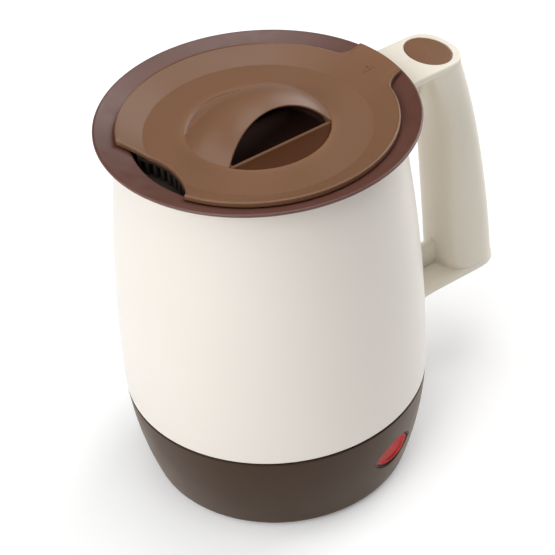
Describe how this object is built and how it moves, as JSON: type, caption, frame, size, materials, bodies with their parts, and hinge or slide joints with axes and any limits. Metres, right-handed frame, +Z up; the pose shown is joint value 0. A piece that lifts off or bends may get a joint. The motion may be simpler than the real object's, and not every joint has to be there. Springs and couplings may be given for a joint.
{
  "type": "electric milk warming jug",
  "caption": "Electric milk warming jug: barrel body over a heated pot, flared pouring rim, lift-off strainer lid with an arch grip, hollow side handle and a rocker switch in the base.",
  "frame": {"origin": "on the jug axis in the plane of the table that the feet stand on, at the mouth of the connector under the base", "axes": "+X towards the handle, -X the pouring side, +Z up along the jug axis"},
  "size_m": [0.1962, 0.1404, 0.1953],
  "materials": {
    "cream_plastic": "smooth moulded plastic, cream",
    "base_plastic": "satin moulded plastic, dark brown",
    "nonstick": "brown non-stick coating on aluminium sheet",
    "lid_plastic": "satin moulded plastic, warm brown",
    "black_plastic": "black moulded plastic",
    "cup_plastic": "dark brown moulded plastic",
    "seal_rubber": "silicone rubber",
    "heater_metal": "die-cast, bare",
    "element_metal": "steel-sheathed element",
    "steel": "zinc plated",
    "brass": "bare brass",
    "red_clear": "red translucent plastic",
    "lamp_glass": "clear glass envelope",
    "ceramic": "glazed ceramic body",
    "brown_wire": "brown wire insulation",
    "white_wire": "white glass-fibre sleeve",
    "blue_wire": "blue wire insulation",
    "green_wire": "green and yellow wire insulation"
  },
  "bodies": {
    "jug": {"body_shell": "cream_plastic", "base_shell": "base_plastic", "inner_pot": "nonstick", "rim_seal": "seal_rubber", "heater_plate": "heater_metal", "heating_element": "element_metal", "thermostat": "black_plastic", "thermostat_bracket": "steel", "thermostat_screws": "steel", "thermal_fuse": "ceramic", "fuse_clip": "steel", "tie_screws": "steel", "connector_socket": "black_plastic", "earth_pin": "brass", "contact_rings": "brass", "switch_housing": "black_plastic", "rocker_pin": "steel", "neon_lamp": "lamp_glass", "switch_terminals": "brass", "handle_front_half": "cream_plastic", "handle_rear_half": "cream_plastic", "handle_inlay": "lid_plastic", "handle_screws": "steel", "rubber_feet": "seal_rubber", "live_lead": "brown_wire", "switched_lead": "brown_wire", "fuse_lead": "white_wire", "element_lead": "white_wire", "neutral_lead": "blue_wire", "earth_lead": "green_wire"},
    "lid": {"lid_cover": "lid_plastic", "grip_cup": "cup_plastic", "lid_strainer": "black_plastic"},
    "rocker": {"power_rocker": "red_clear"}
  },
  "joints": [
    {"name": "lid_lift", "type": "slide", "parent": "jug", "child": "lid", "axis": [0, 0, 1], "range_m": [0, 0.09]},
    {"name": "rocker_tilt", "type": "hinge", "parent": "jug", "child": "rocker", "pos_m": [0.01644, -0.05734, 0.02738], "axis": [0.0526, -0.1836, 0.9816], "range_deg": [0, 12]}
  ]
}
